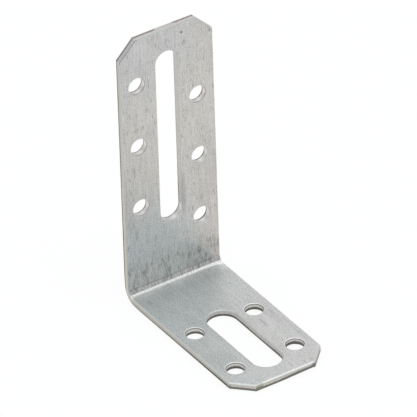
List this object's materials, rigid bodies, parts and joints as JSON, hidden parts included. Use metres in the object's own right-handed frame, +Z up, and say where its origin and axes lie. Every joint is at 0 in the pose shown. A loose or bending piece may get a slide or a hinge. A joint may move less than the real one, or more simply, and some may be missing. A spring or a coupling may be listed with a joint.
{
  "type": "adjustable angle bracket",
  "caption": "Right-angle bracket folded from galvanised steel strip, with clipped corners and an adjustment slot and punched screw holes in each leg, for fixing parts square.",
  "frame": {"origin": "bottom centre of the bounding box, on the surface that the short leg lies on", "axes": "+Z up along the tall leg, +Y towards the outer face of the tall leg, X across the strip"},
  "size_m": [0.03, 0.057, 0.0845],
  "materials": {
    "galvanised_steel": "galvanised, dull light grey with fine darker streaks along the strip"
  },
  "bodies": {
    "root": {"angle_bracket": "galvanised_steel"}
  },
  "joints": []
}
